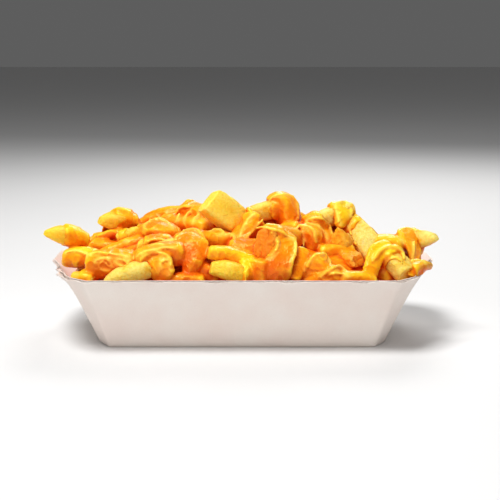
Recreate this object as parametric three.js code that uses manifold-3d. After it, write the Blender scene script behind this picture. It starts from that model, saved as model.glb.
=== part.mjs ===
// Cheese fries heaped in a folded tray of corrugated board. Millimetres, +Z up, +X along the long front
// panel and +Y to the back. The origin is the centre of the tray's underside.
import * as THREE from "three";
import { mergeVertices } from "three/addons/utils/BufferGeometryUtils.js";
import Module from "manifold-3d";

const wasm = await Module();
wasm.setup();

// The tray. Each outline has straight long sides, chamfered corners and bowed ends. An end is widest
// behind its middle, and its back corner stands further out than its front one.
const wallHeight = 37;
const boardAcross = 1.65; // the leaning board, measured level
const floorThick = 1.5;
const baseOutline = { straight: 66.5, front: 36, corner: 72.3, cornerFront: 26, end: 73.5, back: 66.5 };
const rimOutline = { straight: 76.5, front: 52.5, corner: 86, cornerFront: 43, end: 101.3, back: 85 };
const endPeak = 0.15; // where an end is widest, from -1 at its front to 1 at its back
const endFull = 0.65; // how wide an end still is at its back
const endPlaces = [-1, -0.4, endPeak, 0.45, 0.75, 1];

// The heap rises over the rim as a flat dome. The core stays under the fries that cover it.
const heap = { edge: wallHeight + 1, crown: 29, halfLength: 103, halfDepth: 54 };
const coreDepth = 9;
const coreLevels = [0, 0.2, 0.42, 0.66, 0.86, 0.98]; // of the crown
const clearance = 0.3; // food to board
const sliver = 0.02; // detail finer than this is merged
const airSize = [260, 160, 80]; // over the rim

// Fries that cover the rest of the dome, laid in two layers. The upper layer stays behind the shown
// fries, no nearer to the front than nearest.
const fillLayers = [
  { depth: 5, tries: 4000, most: 34, nearest: 16 },
  { depth: 12, tries: 1400, most: 6, nearest: -60 },
];
const fillLength = [27, 42];
const fillThick = [7.6, 9.6];
const fillSpacing = 7.4; // least distance between two centre lines
const fillReach = 1; // of the dome's half length and half depth
const fillRoll = [-30, 30];
const fillBow = 1.5;
const fillWrap = { chance: 0.75, start: [-0.05, 0.55], reach: [0.3, 0.75], end: 1.04, thick: [1.2, 2.4] };
const deepCoat = 1.2; // on the lower layer, which is coated all over
const wallGap = 4; // from their skin to the walls

// Ribbons of cheese that run down the back and the ends of the dome. Sector is in half turns from +X,
// and start and step are shares of the dome's half length and half depth.
const fillRibbon = {
  count: 8, sector: [0.12, 0.88], spread: 0.6, widest: [11, 17], start: [0.3, 0.45], step: 0.17,
  steps: 4, sway: 0.12, proud: 0.4, narrowest: 0.6,
};

// The fries seen from the front: both ends of the centre line, width, thickness, roll in degrees, and
// where cheese wraps them, as start, end and thickness of the wrap. Some bow more than others, and tips
// says how far each end narrows.
const shownFries = [
  // left end
  {
    from: [-100, -20, 55.5], to: [-80, -12, 50], wide: 9.5, thick: 9, roll: 10,
    wraps: [[0.42, 1, 0.7]], tips: [0.3, 0.8],
  },
  { from: [-79, 4, 43], to: [-57, -4, 40], wide: 9, thick: 8.5, roll: 0, wraps: [[0, 1, 1.2]] },
  { from: [-79, 12, 44], to: [-60, 10, 44], wide: 9, thick: 8.5, roll: 0, wraps: [[0, 1, 1.2]] },
  { from: [-89.5, -20, 42.8], to: [-73, -26, 43], wide: 8.5, thick: 7.5, roll: 0, wraps: [[0, 1, 1]] },
  { from: [-76, -32, 41], to: [-53, -36, 42], wide: 11.5, thick: 11.5, roll: 0, wraps: [[0, 1, 1.2]] },
  { from: [-85, -35, 35], to: [-73.6, -38.5, 33.5], wide: 7, thick: 6.5, roll: 0, wraps: [[0.4, 1, 1]] },
  {
    from: [-76, 10, 57], to: [-57, 16, 55], wide: 10, thick: 9.5, roll: 15,
    wraps: [[0.38, 1, 0.7]], tips: [0.4, 0.9],
  },
  {
    from: [-64, 1, 48], to: [-44, 2, 52], wide: 8.5, thick: 8.5, roll: 0,
    wraps: [[0, 0.24, 0.9], [0.5, 1, 1.2]],
  },
  // left of the middle
  { from: [-56, 30, 50], to: [-29, 26, 57], wide: 8, thick: 8, roll: 0, wraps: [[0, 1, 1.2]], bow: 1.5 },
  { from: [-31, 16, 60], to: [-17, 2, 59], wide: 9, thick: 9, roll: 10, wraps: [[0, 1, 1.4]] },
  { from: [-42, 12, 53], to: [-18, -4, 54], wide: 9, thick: 9, roll: 0, wraps: [[0, 1, 1.4]] },
  {
    from: [-67.5, -42, 32.5], to: [-44, -42, 41.8], wide: 10.5, thick: 10.5, roll: 8,
    wraps: [], tips: [1, 0.8],
  },
  { from: [-53, -22, 47], to: [-36, -20, 49], wide: 8, thick: 8, roll: 0, wraps: [[0.2, 1, 1.6]] },
  { from: [-51, -38, 44], to: [-30, -34, 48], wide: 9, thick: 8, roll: 0, wraps: [[0, 1, 2]] },
  { from: [-42, -30, 47.5], to: [-4, -16, 47.8], wide: 9, thick: 8.5, roll: 0, wraps: [[0.2, 1, 2.2]] },
  { from: [-41, -43, 33.5], to: [-19, -43, 34], wide: 7, thick: 7, roll: 0, wraps: [[0, 1, 1]] },
  { from: [-28, -34, 41], to: [-12, -36, 36], wide: 9, thick: 8, roll: 0, wraps: [[0, 1, 1.2]] },
  // middle
  {
    from: [-17.4, -12, 71], to: [5.4, -4, 50.6], wide: 15.5, thick: 8.5, roll: 65,
    wraps: [[0.85, 1, 1.6]], tips: [0.92, 1],
  },
  { from: [3, -4, 61], to: [21, 0, 65], wide: 10.5, thick: 9.5, roll: 0, wraps: [[0, 1, 0.7]] },
  { from: [8, 4, 57], to: [30, 6, 57], wide: 8, thick: 8, roll: 0, wraps: [[0, 1, 1]] },
  { from: [8, -12, 60], to: [-3, -19, 50], wide: 9, thick: 7, roll: 0, wraps: [[0, 1, 1.2]] },
  {
    from: [-16.5, -38, 48.7], to: [6, -36, 42.5], wide: 8, thick: 7.5, roll: 5,
    wraps: [[0, 1, 0.6]], tips: [0.65, 1],
  },
  {
    from: [-15.5, -43, 41.7], to: [2, -42, 37], wide: 10, thick: 9.5, roll: -5,
    wraps: [[0.88, 1, 1.6]], tips: [0.65, 1],
  },
  {
    from: [11, -38, 53], to: [25, -16, 48], wide: 10.5, thick: 15, roll: 12,
    wraps: [[0, 0.3, 0.3], [0.1, 0.95, 1.6]],
  },
  { from: [9, -40.5, 45], to: [8, -42, 33], wide: 11, thick: 8, roll: 0, wraps: [[0, 1, 1]] },
  {
    from: [21, -8, 52], to: [39, -16, 51], wide: 9, thick: 9, roll: 0,
    wraps: [[0, 0.48, 2.6], [0.5, 1, 2.6]],
  },
  // right of the middle
  {
    from: [34, -10, 56], to: [56.5, 0, 64], wide: 10, thick: 9.5, roll: 0,
    wraps: [[0, 0.32, 1.8], [0.58, 0.87, 2.2]],
  },
  { from: [38, -8, 54], to: [47, -13, 46], wide: 9, thick: 8, roll: 0, wraps: [[0, 1, 1.4]] },
  { from: [55, -4, 57], to: [69, -18, 43], wide: 13.5, thick: 8, roll: 50, wraps: [[0, 0.22, 0.8]] },
  {
    from: [48.6, -21, 58], to: [49.5, -18, 42], wide: 10.5, thick: 8, roll: 10,
    wraps: [[0, 1, 0.5]], tips: [0.15, 1],
  },
  { from: [39, -22, 44.5], to: [56, -19, 44.5], wide: 8, thick: 8, roll: 0, wraps: [[0, 1, 0.9]] },
  { from: [57.3, -33, 43.3], to: [50, -14, 41], wide: 9.5, thick: 6.5, roll: -6, wraps: [[0, 1, 0.5]] },
  { from: [41, -38, 44], to: [27, -35, 31], wide: 11, thick: 10, roll: 0, wraps: [[-0.04, 1, 1.6]] },
  { from: [47, -43, 39], to: [32, -40, 31], wide: 8, thick: 7, roll: 0, wraps: [[-0.04, 1, 1.6]] },
  { from: [48, -44, 36], to: [65, -42, 34], wide: 8, thick: 7, roll: 0, wraps: [[0, 1, 0.9]] },
  // right end
  {
    from: [82.5, -36, 36.5], to: [71.5, -28, 46], wide: 11, thick: 9.5, roll: -10,
    wraps: [[0.56, 1, 1.5]],
  },
  { from: [68, -27, 43], to: [72, -30, 32], wide: 10, thick: 9, roll: 0, wraps: [[0, 1, 1]] },
  {
    from: [99.8, -12, 52], to: [76, 2, 43.5], wide: 9.5, thick: 8, roll: 10,
    wraps: [[0.36, 0.72, 2.2], [0.74, 1, 1.2]], tips: [0.7, 1],
  },
  { from: [62, -12, 47], to: [81, -14, 47], wide: 9, thick: 8, roll: 0, wraps: [[0.3, 1, 1.8]] },
  {
    from: [83, -36, 40], to: [94, -25, 39.6], wide: 8, thick: 4.5, roll: 0,
    wraps: [[0, 1, 0.6]], tips: [1, 0.5],
  },
];

// Sheets of cheese that hang over the fries: the middle line, its width at each point, and its thickness.
const shownRibbons = [
  { line: [[-26.3, -24, 56], [-25.4, -32, 52.5], [-24.4, -37, 47.8], [-25.3, -41, 42.9], [-26.6, -44, 37.5]],
    widths: [16, 17, 12.5, 8.5, 5] },
  { line: [[-52, -3, 48], [-48, -6, 52.5], [-43, -8, 53.5], [-38, -9, 51.5], [-35, -10, 46]],
    widths: [12, 15, 15.5, 14, 11], thick: 12 },
  { line: [[-42, -15, 53], [-40, -16, 49], [-38, -17, 45]],
    widths: [10, 10, 6] },
  { line: [[15.5, 0, 65.5], [19, 1, 68], [22.3, 0, 66], [23.8, -2, 60], [23.8, -3, 53]],
    widths: [12, 13.5, 13.5, 12.5, 12], thick: 12 },
  { line: [[84, -6, 54], [85.5, -12, 50], [87, -17, 45], [87, -21, 39]],
    widths: [11, 9, 7, 5] },
  { line: [[51.6, -2, 68.3], [51.8, -8, 64.4], [50.8, -11, 60.6], [50, -13, 56.8]],
    widths: [8, 8.5, 7, 4] },
  { line: [[11, -33, 60.8], [16, -33, 59], [21, -34, 56.5], [26.5, -36, 53]],
    widths: [5, 6, 7, 6] },
  { line: [[21.8, -33, 57], [21.6, -39, 52], [19, -43.5, 46.8], [16.6, -46, 41.4], [15.6, -46.5, 35]],
    widths: [10, 11, 12, 15, 18] },
  { line: [[30, -35, 50.5], [27.8, -41, 44.5], [25.5, -45.5, 36]],
    widths: [8, 7.5, 6] },
  { line: [[3, -40, 45.5], [3, -44, 41.5], [3, -46, 36]],
    widths: [6, 7, 7] },
  { line: [[74.8, -30, 50.5], [68.5, -33, 49], [64.6, -38, 43.5], [62.3, -42.5, 36]],
    widths: [9, 9, 8, 8] },
  { line: [[-42, -40, 48], [-41, -44, 46], [-40, -46, 41], [-40, -46, 35]],
    widths: [13, 14, 14, 13] },
  { line: [[81.5, -38, 39], [86.5, -34.5, 39.2], [91, -28, 39]],
    widths: [5, 7, 5] },
  { line: [[5.4, -15, 65.3], [3.9, -19, 60.7], [0.9, -23, 54.7], [-2.6, -26.5, 49.2]],
    widths: [12, 8.5, 6.5, 5] },
];
const ribbonThick = 3.2; // unless a ribbon has its own, as the thick bends do
const tipLength = 9; // over which an end narrows
const tipCurve = 1.6; // how round it narrows
const fryRings = [[0, 0.84], [0.07, 1], [0.5, 1], [0.93, 1], [1, 0.84]]; // place along it, and size there
const wrapRings = [[0, 0.1], [0.24, 1], [0.76, 1], [1, 0.1]];

// Where the corners of a section are cut back, as a share of its half width.
const fryCut = 0.72;
const wrapCut = 0.6;
const ribbonCut = 0.45;

const lerp = THREE.MathUtils.lerp;
const vector = (point) => new THREE.Vector3(...point);

// Draws between 0 and 1, the same on every run.
let drawn = 2024;
function random() {
  drawn = (drawn * 1664525 + 1013904223) % 4294967296;
  return drawn / 4294967296;
}
const between = ([least, most]) => lerp(least, most, random());

// A closed surface through rings of points that run anticlockwise about the direction of travel.
function loft(rings) {
  const sides = rings[0].length;
  const points = rings.flat().flatMap((point) => point.toArray());
  const faces = [];
  for (let ring = 0; ring + 1 < rings.length; ring++) {
    for (let side = 0; side < sides; side++) {
      const next = (side + 1) % sides;
      const low = ring * sides;
      const high = low + sides;
      faces.push(low + side, low + next, high + next, low + side, high + next, high + side);
    }
  }
  const last = (rings.length - 1) * sides;
  for (let side = 1; side + 1 < sides; side++) {
    faces.push(0, side + 1, side, last, last + side, last + side + 1);
  }
  const geometry = new THREE.BufferGeometry();
  geometry.setAttribute("position", new THREE.Float32BufferAttribute(points, 3));
  geometry.setIndex(faces);
  return geometry;
}

function solidOf(geometry) {
  const merged = mergeVertices(geometry, 1e-4);
  return new wasm.Manifold(new wasm.Mesh({
    numProp: 3,
    vertProperties: merged.getAttribute("position").array,
    triVerts: new Uint32Array(merged.index.array),
  }));
}

function geometryOf(solid) {
  const mesh = solid.getMesh();
  const geometry = new THREE.BufferGeometry();
  geometry.setAttribute("position", new THREE.BufferAttribute(mesh.vertProperties, 3));
  geometry.setIndex(new THREE.BufferAttribute(mesh.triVerts, 1));
  geometry.computeVertexNormals();
  return geometry;
}

function meshOf(name, solid, colour, roughness) {
  const material = new THREE.MeshStandardMaterial({ color: colour, roughness, metalness: 0 });
  const mesh = new THREE.Mesh(geometryOf(solid), material);
  mesh.name = name;
  return mesh;
}

// How far out an end is at a place along it, from 0 at the front corner to 1 at its peak.
function endBulge(along) {
  if (along < endPeak) return (along + 1) / (endPeak + 1);
  return 1 - (1 - endFull) * ((along - endPeak) / (1 - endPeak)) ** 4;
}

// The tray's outline at a height, moved inwards by inset and scaled about the middle.
function outline(z, inset = 0, scale = 1) {
  const level = z / wallHeight;
  const size = (key, share = 1) => lerp(baseOutline[key], rimOutline[key], level) - share * inset;
  const cornerShare = Math.tan(Math.PI / 8); // a 45° chamfer moves its ends by this much
  const front = size("front");
  const cornerFront = size("cornerFront", cornerShare);
  const end = endPlaces.map((along) =>
    [lerp(size("corner"), size("end"), endBulge(along)), cornerFront * along]);
  const right = [[size("straight", cornerShare), -front], ...end, [size("back", cornerShare), front]];
  const left = right.map(([x, y]) => [-x, y]).reverse();
  return [...right, ...left].map(([x, y]) => new THREE.Vector3(x * scale, y * scale, z));
}

// The space inside the walls, from a height up to another.
const well = (low, high, inset) => solidOf(loft([outline(low, inset), outline(high, inset)]));

function trayShell() {
  const outside = solidOf(loft([outline(0), outline(wallHeight)]));
  return outside.subtract(well(floorThick, wallHeight + 2, boardAcross));
}

const domeShare = (x, y) => Math.max(0, 1 - (x / heap.halfLength) ** 2 - (y / heap.halfDepth) ** 2);
const heapTop = (x, y) => heap.edge + heap.crown * domeShare(x, y);
const heapNormal = ([x, y]) =>
  new THREE.Vector3(
    (2 * heap.crown * x) / heap.halfLength ** 2,
    (2 * heap.crown * y) / heap.halfDepth ** 2,
    1,
  ).normalize();

function heapCore() {
  const inset = boardAcross + clearance;
  const shoulder = heap.edge - coreDepth;
  const dome = coreLevels.map((rise) =>
    outline(shoulder + heap.crown * rise, inset, Math.sqrt(1 - rise)));
  return solidOf(loft([outline(floorThick + clearance, inset), ...dome]));
}

// Everything clear of the board: the well of the tray and the air over its rim.
function openRoom() {
  const overRim = wallHeight + clearance;
  const air = new THREE.BoxGeometry(...airSize);
  air.deleteAttribute("normal");
  air.deleteAttribute("uv");
  air.translate(0, 0, overRim + airSize[2] / 2);
  const inset = boardAcross + clearance;
  return well(floorThick + clearance, overRim + 2, inset).add(solidOf(air));
}

// Side and up directions of a section square to the direction of travel.
function sectionAxes(direction, upward, roll = 0) {
  const forward = direction.clone().normalize();
  const up = upward.clone().addScaledVector(forward, -upward.dot(forward)).normalize();
  up.applyAxisAngle(forward, THREE.MathUtils.degToRad(roll));
  return { side: up.clone().cross(forward), up };
}

// A section with square corners, or with eight sides where the corners are cut back to a share.
function section(centre, axes, halfWide, halfThick, cut = 1) {
  const square = [[1, -1], [1, 1], [-1, 1], [-1, -1]];
  const chamfered =
    [[1, -cut], [1, cut], [cut, 1], [-cut, 1], [-1, cut], [-1, -cut], [-cut, -1], [cut, -1]];
  return (cut < 1 ? chamfered : square).map(([across, over]) =>
    centre.clone().addScaledVector(axes.side, across * halfWide).addScaledVector(axes.up, over * halfThick));
}

// A fry's centre line, with a slight bow upwards.
function fryLine(fry) {
  const start = vector(fry.from);
  const end = vector(fry.to);
  const axes = sectionAxes(end.clone().sub(start), new THREE.Vector3(0, 0, 1), fry.roll);
  const rise = (share) => 4 * (fry.bow ?? 1) * share * (1 - share);
  const at = (share) => start.clone().lerp(end, share).addScaledVector(axes.up, rise(share));
  return { at, axes };
}

// How much a fry narrows at a share of its length, for the tips of its two ends.
function tipSize(fry, share) {
  const length = vector(fry.from).distanceTo(vector(fry.to));
  const [startTip, endTip] = fry.tips ?? [1, 1];
  const narrow = (tip, away) => lerp(tip, 1, 1 - (1 - Math.min(1, away / tipLength)) ** tipCurve);
  return narrow(startTip, share * length) * narrow(endTip, (1 - share) * length);
}

function frySolid(fry) {
  const { at, axes } = fryLine(fry);
  const rings = fryRings.map(([share, size]) => {
    const half = (size * tipSize(fry, share)) / 2;
    return section(at(share), axes, half * fry.wide, half * fry.thick, fry.cut ?? fryCut);
  });
  return solidOf(loft(rings));
}

function wrapSolid(fry, [start, end, thick]) {
  const { at, axes } = fryLine(fry);
  const rings = wrapRings.map(([share, size]) => {
    const swell = size * thick;
    const along = lerp(start, end, share);
    const half = tipSize(fry, Math.min(1, Math.max(0, along))) / 2;
    return section(at(along), axes, half * fry.wide + swell, half * fry.thick + swell, fry.cut ?? wrapCut);
  });
  return solidOf(loft(rings));
}

function ribbonSolid({ line, widths, thick = ribbonThick }) {
  const points = line.map(vector);
  const rings = points.map((point, index) => {
    const before = points[Math.max(index - 1, 0)];
    const after = points[Math.min(index + 1, points.length - 1)];
    const axes = sectionAxes(after.clone().sub(before), heapNormal(line[index]));
    return section(point, axes, widths[index] / 2, thick / 2, ribbonCut);
  });
  return solidOf(loft(rings));
}

// Least distance between two centre lines, tried at a few places along each.
function gapBetween(one, other) {
  let least = Infinity;
  for (let step = 0; step <= 4; step++) {
    const place = vector(one.from).lerp(vector(one.to), step / 4);
    const line = new THREE.Line3(vector(other.from), vector(other.to));
    least = Math.min(least, line.closestPointToPoint(place, true, new THREE.Vector3()).distanceTo(place));
  }
  return least;
}

// A fry laid on the dome at a random place and heading. It dips with the dome at both its ends.
function fillFry(depth) {
  const angle = 2 * Math.PI * random();
  const reach = fillReach * Math.sqrt(random());
  const heading = Math.PI * random();
  const half = between(fillLength) / 2;
  const thick = between(fillThick);
  const end = (sign) => {
    const x = reach * heap.halfLength * Math.cos(angle) + sign * half * Math.cos(heading);
    const y = reach * heap.halfDepth * Math.sin(angle) + sign * half * Math.sin(heading);
    return [x, y, heapTop(x, y) - depth];
  };
  const wrapStart = between(fillWrap.start);
  const wrapEnd = Math.min(fillWrap.end, wrapStart + between(fillWrap.reach));
  let wraps = random() < fillWrap.chance ? [[wrapStart, wrapEnd, between(fillWrap.thick)]] : [];
  if (depth > fillLayers[0].depth) wraps = [[0, 1, deepCoat]];
  const roll = between(fillRoll);
  return { from: end(-1), to: end(1), wide: thick, thick, roll, wraps, bow: fillBow, cut: 1 };
}

// Both ends have to lie inside the walls where they are lower than the rim.
function fitsTray(fry) {
  return [fry.from, fry.to].every(([x, y, z]) => {
    const level = Math.min(z, wallHeight);
    const room = outline(level, boardAcross + wallGap + fry.wide / 2);
    return insideOutline(x, y, room);
  });
}

function insideOutline(x, y, points) {
  return points.every((point, index) => {
    const next = points[(index + 1) % points.length];
    return (next.x - point.x) * (y - point.y) - (next.y - point.y) * (x - point.x) > 0;
  });
}

function layFillFries() {
  const laid = [...shownFries];
  for (const { depth, tries, most, nearest } of fillLayers) {
    let added = 0;
    for (let attempt = 0; attempt < tries && added < most; attempt++) {
      const fry = fillFry(depth);
      const tooNear = fry.from[1] + fry.to[1] < 2 * nearest;
      if (tooNear || !fitsTray(fry)) continue;
      if (laid.some((other) => gapBetween(fry, other) < fillSpacing)) continue;
      laid.push(fry);
      added++;
    }
  }
  return laid.slice(shownFries.length);
}

function fillRibbons() {
  const ribbons = [];
  const { count, spread, steps, sway, narrowest } = fillRibbon;
  for (let index = 0; index < count; index++) {
    const angle = lerp(...fillRibbon.sector, (index + spread * random()) / count) * Math.PI;
    const widest = between(fillRibbon.widest);
    const start = between(fillRibbon.start);
    const line = [];
    const widths = [];
    for (let step = 0; step < steps; step++) {
      const reach = start + fillRibbon.step * step;
      const turn = angle + sway * (random() - 0.5);
      const x = reach * heap.halfLength * Math.cos(turn);
      const y = reach * heap.halfDepth * Math.sin(turn);
      line.push([x, y, heapTop(x, y) + fillRibbon.proud]);
      widths.push(widest * lerp(narrowest, 1, Math.sin((Math.PI * (step + 0.7)) / (steps + 0.4))));
    }
    ribbons.push({ line, widths });
  }
  return ribbons;
}

function cheeseFries() {
  const fries = [...shownFries, ...layFillFries()];
  const ribbons = [...shownRibbons, ...fillRibbons()];
  let food = heapCore();
  for (const fry of fries) {
    const hidden = fry.wraps.some(([start, end]) => start <= 0 && end >= 1);
    if (!hidden) food = food.add(frySolid(fry));
    for (const wrap of fry.wraps) food = food.add(wrapSolid(fry, wrap));
  }
  for (const ribbon of ribbons) food = food.add(ribbonSolid(ribbon));
  // The largest body is kept, so that no scrap and no sealed hollow is left, and its slivers are merged.
  const bodies = food.intersect(openRoom()).decompose();
  const whole = bodies.reduce((largest, body) => (body.volume() > largest.volume() ? body : largest));
  return whole.simplify(sliver);
}

const cheeseFriesInTray = new THREE.Group();
cheeseFriesInTray.add(meshOf("tray", trayShell(), 0xe4d8ce, 0.8));
cheeseFriesInTray.add(meshOf("cheese_fries", cheeseFries(), 0xf2981f, 0.35));

export default cheeseFriesInTray;
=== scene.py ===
from math import atan2, cos, exp, inf, pi, radians, sin, sqrt, tan

import bpy
import numpy
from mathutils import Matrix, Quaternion, Vector
from mathutils.bvhtree import BVHTree
from mathutils.kdtree import KDTree
from mathutils.noise import noise, noise_vector


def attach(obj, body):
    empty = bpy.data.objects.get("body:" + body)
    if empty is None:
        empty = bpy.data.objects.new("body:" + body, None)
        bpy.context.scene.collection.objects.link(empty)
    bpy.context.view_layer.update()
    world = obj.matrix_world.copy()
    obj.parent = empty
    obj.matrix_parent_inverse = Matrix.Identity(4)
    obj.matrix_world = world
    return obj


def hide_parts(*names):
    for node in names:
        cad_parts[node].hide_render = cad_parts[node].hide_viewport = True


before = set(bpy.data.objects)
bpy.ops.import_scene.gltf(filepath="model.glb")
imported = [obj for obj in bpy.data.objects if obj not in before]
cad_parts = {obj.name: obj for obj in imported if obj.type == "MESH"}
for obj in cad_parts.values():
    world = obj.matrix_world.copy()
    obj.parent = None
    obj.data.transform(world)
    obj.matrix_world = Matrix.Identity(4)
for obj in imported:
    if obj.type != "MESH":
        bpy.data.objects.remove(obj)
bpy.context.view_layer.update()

mm = 0.001
upward = Vector((0, 0, 1))


# Small helpers for modelling

def selectOnly(piece):
    bpy.ops.object.select_all(action="DESELECT")
    piece.select_set(True)
    bpy.context.view_layer.objects.active = piece


def lerp(low, high, share):
    return low + (high - low) * share


def clamp(share):
    return min(1, max(0, share))


def easeIn(low, high, value):
    share = clamp((value - low) / (high - low))
    return share * share * (3 - 2 * share)


def slowEnds(part, whole=1):
    # a share of the whole whose steps are the shortest at both ends
    return 0.5 - 0.5 * cos(pi * part / whole)


def applyModifier(piece, kind, **settings):
    selectOnly(piece)
    bpy.ops.object.modifier_add(type=kind)
    modifier = piece.modifiers[-1]
    for setting, value in settings.items():
        setattr(modifier, setting, value)
    bpy.ops.object.modifier_apply(modifier=modifier.name)


def pickParts(piece, kind, chosen):
    # selects the edges or faces that chosen says yes to, and leaves the piece in edit mode
    bpy.ops.object.mode_set(mode="EDIT")
    bpy.ops.mesh.select_mode(type=kind)
    bpy.ops.mesh.select_all(action="DESELECT")
    bpy.ops.object.mode_set(mode="OBJECT")
    for part in (piece.data.edges if kind == "EDGE" else piece.data.polygons):
        part.select = chosen(part)
    bpy.ops.object.mode_set(mode="EDIT")


def addTube(name, columns, rows, openEnds=()):
    # a cylinder whose long edges are cut into rows, to be shaped by place. Of its ends, 1 is the top
    bpy.ops.mesh.primitive_cylinder_add(vertices=columns, radius=1, depth=2, end_fill_type="NGON")
    tube = bpy.context.object
    tube.name = tube.data.name = name
    points = tube.data.vertices

    def isLong(edge):
        first, last = (points[index].co.z for index in edge.vertices)
        return abs(first - last) > 1

    pickParts(tube, "EDGE", isLong)
    bpy.ops.mesh.subdivide(number_cuts=rows - 2)
    for side in openEnds:
        pickParts(tube, "FACE", lambda face: face.center.z * side > 0.999)
        bpy.ops.mesh.delete(type="ONLY_FACE")
    bpy.ops.object.mode_set(mode="OBJECT")
    return tube


def shapeTube(tube, place):
    # place gives the point for a share along the tube and an angle round it
    for point in tube.data.vertices:
        x, y, z = point.co
        point.co = place((z + 1) / 2, atan2(y, x)) * mm
    return tube


def shapeCopy(blank, name, place):
    twin = blank.copy()
    twin.data = blank.data.copy()
    twin.name = name
    bpy.context.scene.collection.objects.link(twin)
    return shapeTube(twin, place)


def joinPieces(pieces, name):
    joined = pieces[0]
    selectOnly(joined)
    for piece in pieces:
        piece.select_set(True)
    bpy.ops.object.join()
    joined.name = joined.data.name = name
    return joined


def addValues(piece, name, values, kind="FLOAT"):
    # a value for each point of the mesh, for the colours
    field = "vector" if kind == "FLOAT_VECTOR" else "value"
    piece.data.attributes.new(name, kind, "POINT").data.foreach_set(field, values)


# Shader maths

black, white = (0, 0, 0, 1), (1, 1, 1, 1)


class Wire:
    def __init__(self, finish, socket):
        self.finish = finish
        self.socket = socket

    def maths(self, operation, first, second):
        return self.finish.node("ShaderNodeMath", {"operation": operation}, {0: first, 1: second})

    def __add__(self, other):
        return self.maths("ADD", self, other)

    def __sub__(self, other):
        return self.maths("SUBTRACT", self, other)

    def __mul__(self, other):
        return self.maths("MULTIPLY", self, other)


class Finish:
    def __init__(self, name, **constants):
        self.material = bpy.data.materials.new(name)
        self.material.use_nodes = True
        self.tree = self.material.node_tree
        self.shader = next(n for n in self.tree.nodes if n.type == "BSDF_PRINCIPLED")
        for socket, value in constants.items():
            self.shader.inputs[socket.replace("_", " ")].default_value = value

    def node(self, kind, settings=None, inputs=None, output=0):
        made = self.tree.nodes.new(kind)
        for setting, value in (settings or {}).items():
            setattr(made, setting, value)
        for socket, value in (inputs or {}).items():
            if isinstance(value, Wire):
                self.tree.links.new(value.socket, made.inputs[socket])
            else:
                made.inputs[socket].default_value = value
        return Wire(self, made.outputs[output])

    def feed(self, socket, wire):
        self.tree.links.new(wire.socket, self.shader.inputs[socket])

    def objectPlace(self):
        return self.node("ShaderNodeTexCoord", output="Object")

    def grain(self, place, size, detail=2.0, roughness=0.5):
        # noise whose lumps are about size millimetres across
        inputs = {"Vector": place, "Scale": 1 / (size * mm), "Detail": detail, "Roughness": roughness}
        return self.node("ShaderNodeTexNoise", None, inputs)

    def ramp(self, share, stops):
        wire = self.node("ShaderNodeValToRGB", None, {0: share})
        elements = wire.socket.node.color_ramp.elements
        while len(elements) < len(stops):
            elements.new(0.5)
        for element, stop in zip(elements, stops):
            element.position, element.color = stop
        return wire

    def mask(self, share, low, high):
        # black up to low and white from high on
        return self.ramp(share, [(low, black), (high, white)])

    def attribute(self, name, output="Fac"):
        return self.node("ShaderNodeAttribute", {"attribute_name": name}, output=output)

    def paint(self, base, layers=()):
        # the base colour and what lies over it, as the share and the colour of each layer
        for share, tint in layers:
            inputs = {0: share, 6: base, 7: colour(*tint)}
            base = self.node("ShaderNodeMix", {"data_type": "RGBA"}, inputs, output=2)
        self.feed("Base Color", base)

    def emboss(self, layers):
        # bumps over each other, as the height, strength and distance of each
        inputs = {}
        for height, strength, distance in layers:
            inputs.update({"Height": height, "Strength": strength, "Distance": distance * mm})
            inputs["Normal"] = self.node("ShaderNodeBump", None, inputs)
        self.feed("Normal", inputs["Normal"])


def setMaterial(piece, material):
    piece.data.materials.clear()
    piece.data.materials.append(material)


def shadeSmooth(piece, angle=None):
    # edges over the angle, in degrees, stay sharp
    selectOnly(piece)
    if angle:
        bpy.ops.object.shade_smooth_by_angle(angle=radians(angle))
    else:
        bpy.ops.object.shade_smooth()


def colour(red, green, blue):
    # from the 0 to 255 scale of a screen
    def linear(value):
        share = value / 255
        return share / 12.92 if share <= 0.04045 else ((share + 0.055) / 1.055) ** 2.4
    return (linear(red), linear(green), linear(blue), 1)


# Camera, light and floor

viewSettings = {
    "distance": 610,     # in front of the tray's middle
    "height": 152,
    "aside": 3.9,
    "tilt": 10.127,      # degrees below level
    "lens": 85,
}


def cameraPlace():
    return Vector((viewSettings["aside"], -viewSettings["distance"], viewSettings["height"]))


def makeCamera():
    view = viewSettings
    turn = (radians(90 - view["tilt"]), 0, 0)
    bpy.ops.object.camera_add(location=cameraPlace() * mm, rotation=turn)
    camera = bpy.context.object
    camera.name = "camera"
    camera.data.lens = view["lens"]
    camera.data.sensor_width = 36
    camera.data.clip_start = 0.01
    bpy.context.scene.camera = camera


skyStrength = 0.11

lampSettings = {
    "top": {"place": (-0.25, -0.25, 0.92), "aim": (0, 0, 0.04), "size": 0.4, "power": 10},
    "back": {"place": (0.15, 0.7, 0.6), "aim": (0, 0, 0.04), "size": 0.4, "power": 3.5},
    "front": {"place": (-0.2, -1.05, 0.2), "aim": (0, 0, 0.03), "size": 0.9, "power": 4.2},
    "side": {"place": (0.95, 0.2, 0.45), "aim": (0, 0, 0.04), "size": 0.5, "power": 1.2},
}


def makeLights():
    world = bpy.data.worlds.new("studio")
    bpy.context.scene.world = world
    world.use_nodes = True
    background = world.node_tree.nodes["Background"]
    background.inputs["Color"].default_value = white
    background.inputs["Strength"].default_value = skyStrength
    for name, light in lampSettings.items():
        place = Vector(light["place"])
        aim = (Vector(light["aim"]) - place).to_track_quat("-Z", "Y")
        bpy.ops.object.light_add(type="AREA", location=place, rotation=aim.to_euler())
        lamp = bpy.context.object
        lamp.name = name + "_light"
        lamp.data.size = light["size"]
        lamp.data.energy = light["power"]
    bpy.context.scene.view_settings.view_transform = "Standard"


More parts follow.
